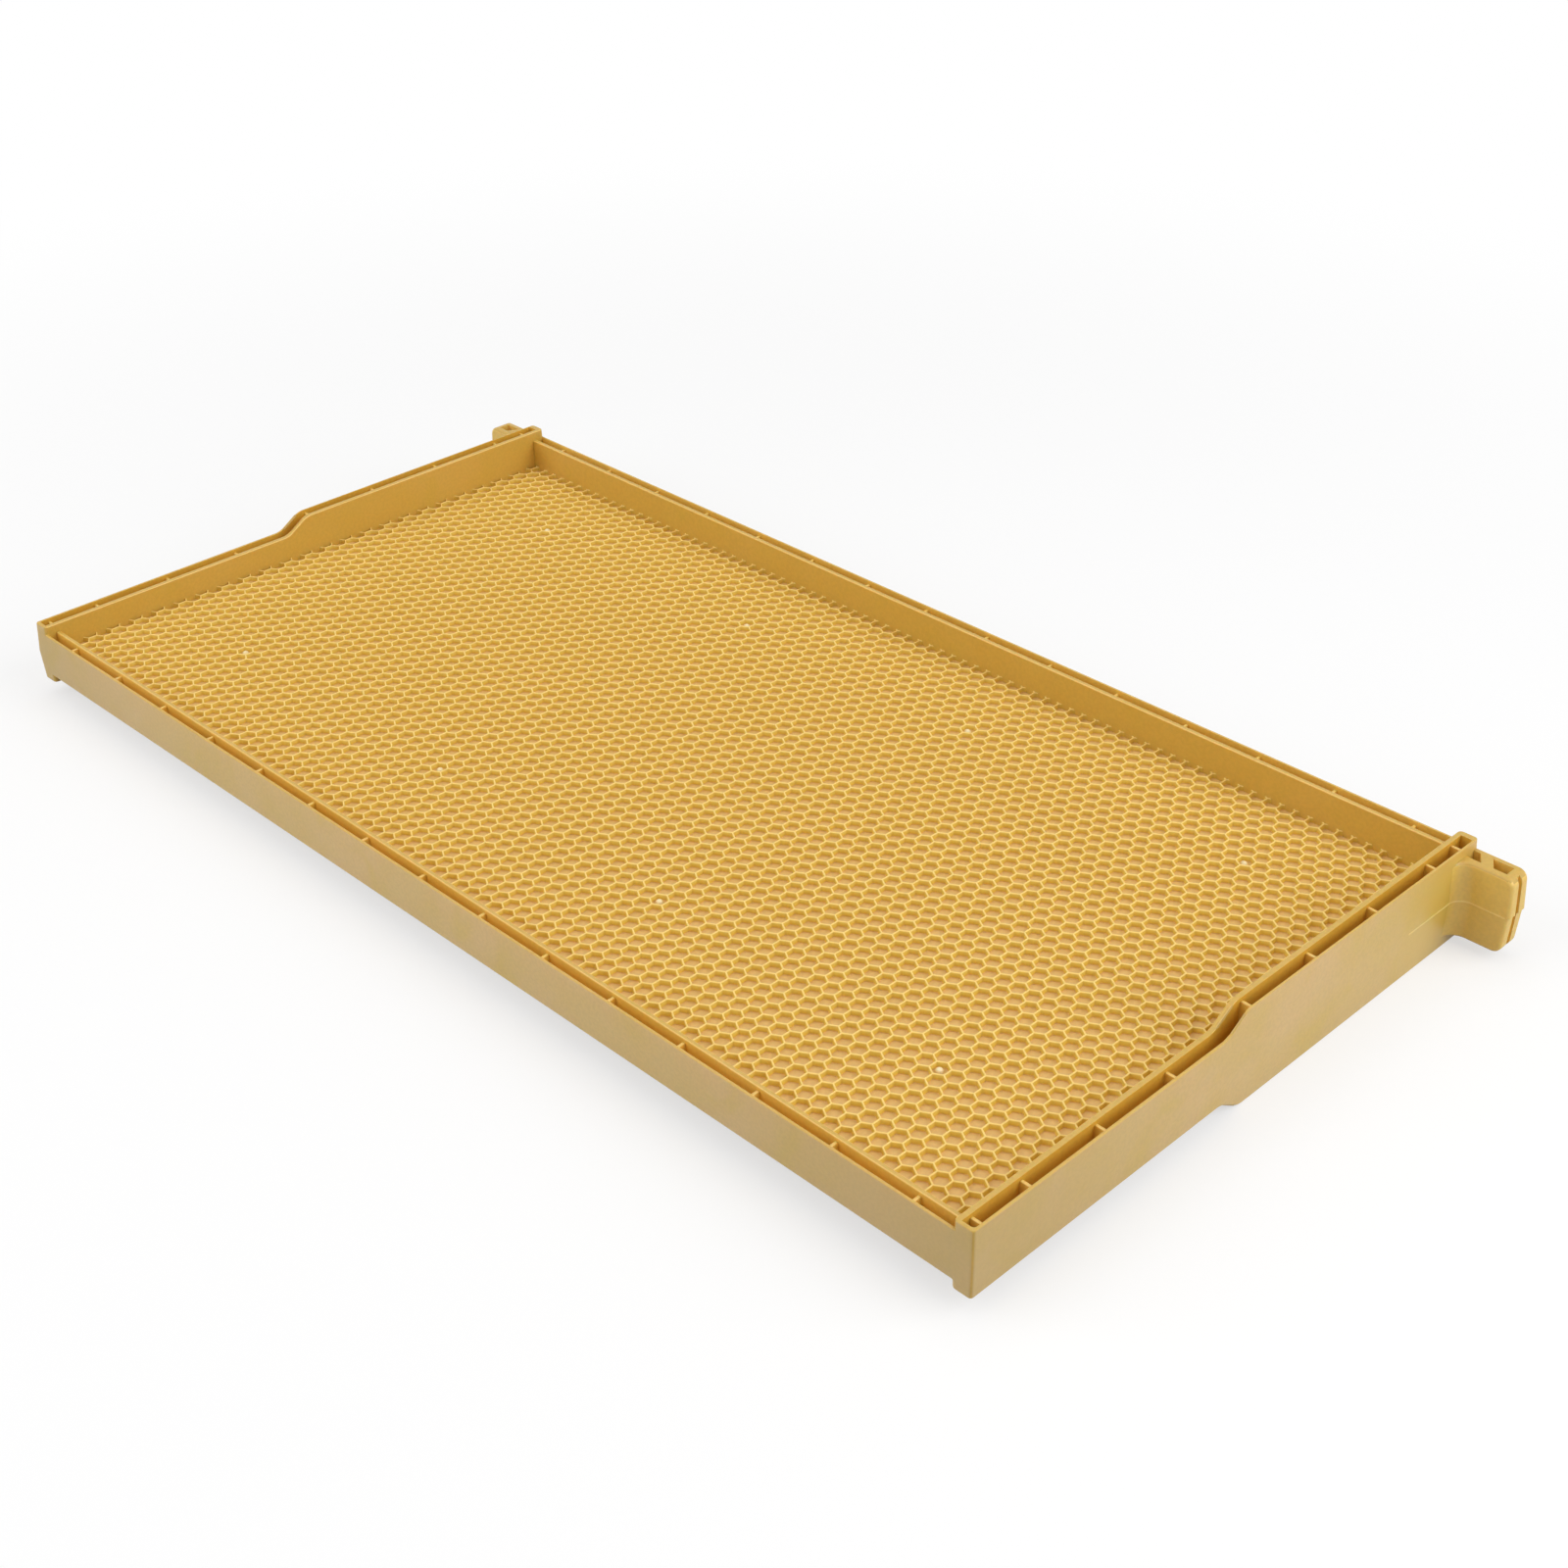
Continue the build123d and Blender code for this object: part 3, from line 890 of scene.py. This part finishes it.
# %% [markdown]
# A lug carries the frame on the rim of the hive. It is a block with two flanges, pockets between them and a groove at
# its tip. It starts as a box with a short leg against the end bar. The inner corner between leg and box is bevelled,
# and on an inner corner a bevel adds plastic, which gives the round root that the photo shows.

# %% The block of a lug
rest_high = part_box("right_lug_rest_flange")[1]
top_low, top_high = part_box("right_lug_top_flange")
rest_y, lug_top_z = 105.95 * MM, rest_high.z
skin, root_round, spare = 0.02 * MM, 5.0 * MM, 4.0 * MM
face_x = outer_high.x + skin
lug_lean = (lug_top_z - parting_z) * draft
lug = add_block("right_lug_body", (outer_low.x - spare, rest_y, parting_z), (rest_high.x, top_high.y, lug_top_z))
# The lug's sides take the paler lug finish, which is painted light.
lug.data.materials[WALL] = lug_finish
lug.data.materials.append(mark_finish)
cut((face_x, 0, 0), (1, 0, 0))
choose("FACE", lambda face: face.normal.y < -MOST and face.calc_center_median().x < face_x)
push((0, -root_round - spare, 0))
move_points(lambda p: p.x > rest_high.x - TINY and p.z > lug_top_z - TINY, (-lug_lean, 0, 0))
move_points(lambda p: p.y > top_high.y - TINY and p.z > lug_top_z - TINY, (0, -lug_lean, 0))
move_points(lambda p: at_one(p.x, face_x) and p.z > lug_top_z - TINY, (-lug_lean, 0, 0))
merge_flat_faces()
print("lug block in mm:", in_mm(rest_high.x - face_x, top_high.y - rest_y, 2 * (lug_top_z - parting_z)))

# %% [markdown]
# The root and the tip's upper edge are rounded first, and then the whole outline of the two sides in one go, so that
# the rounding runs on over the tip. The leg was made too long and the box too deep on purpose: the rounding can run
# past the end bar's face, and two cuts take away the spare plastic that would stick out of the bar.

# %% Rounding a lug
tip_round, side_round, inside_gap = 3.0 * MM, 1.2 * MM, 0.1 * MM
root = round_edges(
    lambda middle, way, edge: abs(way.z) > MOST and abs(middle.x - face_x) < NEAR and at_one(middle.y, rest_y),
    root_round, segments=8,
)
tip = round_edges(
    lambda middle, way, edge: abs(way.y) > MOST and middle.x > rest_high.x - NEAR and middle.z > lug_top_z - TINY,
    tip_round, segments=6,
)


def is_side(face):
    """One of the lug's two long sides, or its root."""
    by_root = face.calc_center_median().x < face_x + root_round
    return abs(face.normal.z) < SOME and (abs(face.normal.y) > SOME or by_root)


def is_outline(middle, way, edge):
    """An outer edge between a side and the top or the tip."""
    if not is_convex(edge) or middle.z < parting_z + TINY:
        return False
    near_spare = middle.x < outer_low.x - spare + NEAR or middle.y < rest_y - root_round - spare + NEAR
    return sum(map(is_side, edge.link_faces)) == 1 and not near_spare


around = round_edges(is_outline, side_round, segments=4)
cut((0, rest_y - root_round - 2 * skin, 0), (0, -1, 0), clear=True, fill=True)
cut((outer_low.x + inside_gap, 0, 0), (-1, 0, 0), clear=True, fill=True)
print("root edges:", root, "tip edges:", tip, "edges of the outline:", around)

# %% [markdown]
# The pockets are bounded by the flanges, a slanting brace and the tip's web, so the block is cut along those lines
# and the faces between them are pushed down to the web. A face can't have a hole, so two cuts from each pocket to the
# outline are marked as seams and stay.

# %% Pockets of a lug
brace_rest_x, brace_width, brace_lean = 228.1 * MM, 4.4 * MM, 2.6 * MM
window_end_x, pocket_sink, lug_edge = 236.8 * MM, 0.2 * MM, 0.22 * MM
core_rest_y, core_top_y = rest_high.y, top_low.y
brace_normal = (core_top_y - core_rest_y, brace_lean, 0)
for start in (brace_rest_x, brace_rest_x + brace_width):
    cut((start, core_rest_y, 0), brace_normal)
pocket_start_x = outer_high.x - lug_lean - pocket_sink
for x in (pocket_start_x, window_end_x):
    cut((x, 0, 0), (1, 0, 0))
for y in (core_rest_y, core_top_y):
    cut((0, y, 0), (0, 1, 0))


def brace_x(y):
    """Where the brace's inner side is, at a place across the lug."""
    return brace_rest_x - brace_lean * (y - core_rest_y) / (core_top_y - core_rest_y)


def in_pocket(face):
    """A top face in one of the two pockets."""
    middle = face.calc_center_median()
    start = brace_x(middle.y)
    inner = pocket_start_x < middle.x < start
    outer = start + brace_width < middle.x < window_end_x
    return face.normal.z > MOST and core_rest_y < middle.y < core_top_y and (inner or outer)


def is_bridge(edge):
    """A cut in the top face that stays, from a pocket's end to the outline."""
    middle = (edge.verts[0].co + edge.verts[1].co) / 2
    by_tip = middle.x > window_end_x and at_one(middle.y, core_rest_y, core_top_y)
    by_root = middle.y > core_top_y and at_one(middle.x, pocket_start_x, brace_x(middle.y))
    return middle.z > lug_top_z - TINY and (by_tip or by_root)


def is_pocket_rim(middle, way, edge):
    """A rim at the top whose upright face looks into a pocket."""
    beside = sideways_face(edge).calc_center_median()
    across = core_rest_y - TINY < beside.y < core_top_y + TINY
    along = pocket_start_x < beside.x < window_end_x + TINY
    return middle.z > lug_top_z - TINY and is_rim(edge) and across and along


pockets = choose("FACE", in_pocket)
push((0, 0, web_top_z - lug_top_z))
bridges = choose("EDGE", is_bridge)
bpy.ops.mesh.mark_seam()
merge_flat_faces()
rims = round_edges(is_pocket_rim, lug_edge, segments=2, slot=EDGE)
print("pocket faces:", pockets, "seams:", bridges, "pocket rims:", rims)

# %% [markdown]
# Where the two halves of the mould met, a hair of plastic crept out, so the vertices on the parting plane are
# fattened a little along the underside. The lower half of the mould was also shorter, which leaves a step at the tip.

# %% The parting line of a lug
seam_half, flash_gap, flash_rise, tip_step = 0.3 * MM, 0.2 * MM, 0.15 * MM, 0.5 * MM


def is_flash(vertex):
    """A vertex on the parting plane along the underside, clear of the end bar."""
    place = vertex.co
    return at_one(place.z, parting_z) and place.y < rest_y + TINY and place.x > face_x + flash_gap


def by_flash(middle, normal):
    """A face of the underside beside the parting plane."""
    return middle.z < parting_z + seam_half and middle.y < rest_y and abs(normal.z) < MOST


open_at_parting()
cut((0, 0, parting_z + seam_half), (0, 0, 1))
fattened = choose("VERT", is_flash)
bpy.ops.transform.shrink_fatten(value=flash_rise)
# The flash takes the pale mark finish, partly a painted highlight.
paint(MARK, by_flash)
paint(EDGE, lambda middle, normal: middle.z > lug_top_z - side_round and normal.z > HALF)
mirror_below()
move_points(lambda p: p.z < parting_z - seam_half + TINY and p.x > window_end_x + TINY, (-tip_step, 0, 0))
print("vertices of the parting line:", fattened, "step at the tip in mm:", in_mm(tip_step))

# %% [markdown]
# The groove down the tip runs through both halves, so it is taken out last and in one piece, with a Boolean modifier
# and a box that is deleted afterwards. Its edges are then found by the wall that they belong to, and rounded.

# %% The groove at the tip
groove_x, groove_low_y, groove_high_y, groove_reach = 239.3 * MM, 109.75 * MM, 111.35 * MM, 20 * MM
edit(False)
groove = add_block(
    "groove_cutter",
    (groove_x, groove_low_y, parting_z - groove_reach),
    (rest_high.x + NEAR, groove_high_y, parting_z + groove_reach),
)
edit(False)
take_up(lug)
taken = lug.modifiers.new("groove", "BOOLEAN")
taken.operation, taken.solver, taken.object = "DIFFERENCE", "EXACT", groove
bpy.ops.object.modifier_apply(modifier=taken.name)
bpy.data.objects.remove(groove)
edit(True)


def is_groove_rim(middle, way, edge):
    """An outer edge of one of the groove's two walls."""
    return is_convex(edge) and middle.x > groove_x + TINY and at_one(middle.y, groove_low_y, groove_high_y)


print("groove rims:", round_edges(is_groove_rim, lug_edge, segments=2, slot=EDGE))

# %% [markdown]
# The mark of the parting plane goes on for a thumb's width over the face of the end bar, and fades out. It is a thin
# bar added inside the lug's mesh, with its far end moved into the face, so that it loses height on its way. The left
# lug is a mirrored copy.

# %% The mark on the end bar
mark_overlap, mark_end_y, mark_sink, mark_rise, mark_fade = 0.5 * MM, 79.0 * MM, 0.3 * MM, 0.1 * MM, 0.12 * MM
mark_start_y = rest_y - root_round + mark_overlap
mark_centre, mark_size = centre_and_size(
    (face_x - mark_sink, mark_end_y, parting_z - seam_half), (face_x + mark_rise, mark_start_y, parting_z + seam_half)
)
bpy.ops.mesh.select_all(action="DESELECT")
bpy.ops.mesh.primitive_cube_add(size=1, location=mark_centre, scale=mark_size)
move_points(lambda p: p.y < mark_end_y + TINY, (-mark_fade, 0, 0))
paint(MARK, lambda middle, normal: middle.y < mark_start_y + TINY and abs(middle.z - parting_z) < NEAR)
LUG_PARTS = ("rest_flange", "core", "top_flange")
settle_both(lug, *(f"right_lug_{part}" for part in LUG_PARTS))

# %% [markdown]
# The webs of the long bars lie deep in their channels and are right as they are, so the solids stay and only take the
# finish of the walls.

# %% Solids that stay
for bar, _ in BARS:
    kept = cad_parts[f"{bar}_web"]
    kept.data.materials.clear()
    kept.data.materials.append(wall_finish)
    print(bar, "web keeps its shape and takes", wall_finish.name)

# %% [markdown]
# The photo was taken from the front right and above, with a lens that sees about 38 degrees. The place and the
# direction were found by fitting the edges of the bars and the cells to their pixels. A camera looks along its own
# -Z, with +X to the right, so its turn can be written straight from those directions.

# %% The camera
camera_place = Vector((488.40, -437.57, 417.21)) * MM
look_way = Vector((-0.603630, 0.605881, -0.518208)).normalized()
right_way = Vector((0.709811, 0.704385, -0.003259))
right_way = (right_way - look_way * right_way.dot(look_way)).normalized()
up_way = right_way.cross(look_way)
bpy.ops.object.camera_add(location=camera_place)
camera = bpy.context.object
turn = Matrix((right_way, up_way, -look_way)).transposed()
camera.rotation_euler = turn.to_euler()
camera.data.sensor_width = 36.0
camera.data.lens = 52.928
camera.data.shift_x, camera.data.shift_y = -0.01492, -0.02349
camera.data.clip_start, camera.data.clip_end = 0.01, 50.0
bpy.context.scene.camera = camera
print("camera in mm:", in_mm(*camera_place), "lens", camera.data.lens)

# %% [markdown]
# The floor is white. Far from the object it turns into plain white, and close to it stays a real floor, which keeps
# the soft shadow. It bounces less light than it shows, so that the sides of the frame don't get too bright.

# %% The floor
floor_size, floor_roughness = 8.0, 0.9
bounced_white, seen_white = (0.45, 0.45, 0.45), (0.95, 0.95, 0.95)
white_reach, white_share = (0.30, 0.75), (0.62, 1.0)


def any_ray(tree):
    """A mask of the rays that see the scene: from the camera, from a gloss or through glass."""
    rays = put(tree, "ShaderNodeLightPath")
    mask = rays.outputs["Is Camera Ray"]
    for kind in ("Is Glossy Ray", "Is Transmission Ray"):
        either = put(tree, "ShaderNodeMath", {"operation": "MAXIMUM"})
        tree.links.new(mask, either.inputs[0])
        tree.links.new(rays.outputs[kind], either.inputs[1])
        mask = either.outputs["Value"]
    return mask


bpy.ops.mesh.primitive_plane_add(size=floor_size, location=(0, 0, 0))
floor = bpy.context.object
floor.name = "studio_floor"
floor_finish = bpy.data.materials.new("studio_floor_white")
floor_finish.use_nodes = True
tree = floor_finish.node_tree
floor_shader = tree.nodes["Principled BSDF"]
floor_shader.inputs["Roughness"].default_value = floor_roughness
glow = put(tree, "ShaderNodeEmission", {}, {"Strength": 1.0})
seen_ray = any_ray(tree)
tree.links.new(mixed(tree, seen_ray, opaque(bounced_white), opaque(seen_white)), floor_shader.inputs["Base Color"])
away = put(tree, "ShaderNodeVectorMath", {"operation": "LENGTH"})
tree.links.new(put(tree, "ShaderNodeTexCoord").outputs["Object"], away.inputs[0])
far_white = put(tree, "ShaderNodeMath", {"operation": "MULTIPLY"})
tree.links.new(ranged(tree, away.outputs["Value"], white_reach, white_share), far_white.inputs[0])
tree.links.new(seen_ray, far_white.inputs[1])
blend = put(tree, "ShaderNodeMixShader")
tree.links.new(far_white.outputs["Value"], blend.inputs[0])
tree.links.new(floor_shader.outputs["BSDF"], blend.inputs[1])
tree.links.new(glow.outputs["Emission"], blend.inputs[2])
tree.links.new(blend.outputs["Shader"], tree.nodes["Material Output"].inputs["Surface"])
floor.data.materials.append(floor_finish)
floor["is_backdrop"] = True
print("floor of", floor_size, "m with", len(tree.nodes), "nodes")

# %% [markdown]
# The light is that of a plain studio: a pale room, two large soft lamps to the left and to the right of the camera,
# and a third one above. The room is white where it is seen and lights the frame with about a third of that.

# %% The room and the lamps
room_light, room_seen = 0.32, 1.0
lamp_aim = Vector((0, 0, 0.02))
room = bpy.data.worlds.new("studio_room")
bpy.context.scene.world = room
room.use_nodes = True
tree = room.node_tree
background = tree.nodes["Background"]
background.inputs["Color"].default_value = opaque((1.0, 1.0, 1.0))
strength = ranged(tree, any_ray(tree), span=(0.0, 1.0), target=(room_light, room_seen))
tree.links.new(strength, background.inputs["Strength"])


def soft_lamp(name, place, size, power):
    """A square area lamp that looks at the middle of the frame."""
    bpy.ops.object.light_add(type="AREA", location=place)
    lamp = bpy.context.object
    lamp.name = name
    lamp.data.size = size
    lamp.data.energy = power
    lamp.rotation_euler = (lamp_aim - Vector(place)).to_track_quat("-Z", "Y").to_euler()
    print(name, "of", power, "W")


soft_lamp("left_lamp", place=(-0.62, -1.16, 0.88), size=1.3, power=10.8)
soft_lamp("right_lamp", place=(1.24, 0.5, 0.92), size=1.3, power=15.0)
soft_lamp("top_lamp", place=(-0.3, 0.1, 2.2), size=2.0, power=13.5)

# %% [markdown]
# Colours are shown as they are, with no film curve.

# %% Measure and finish
bpy.context.scene.view_settings.view_transform = "Standard"
low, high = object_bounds()
print("visual box in mm:", in_mm(*(b - a for a, b in zip(low, high))))
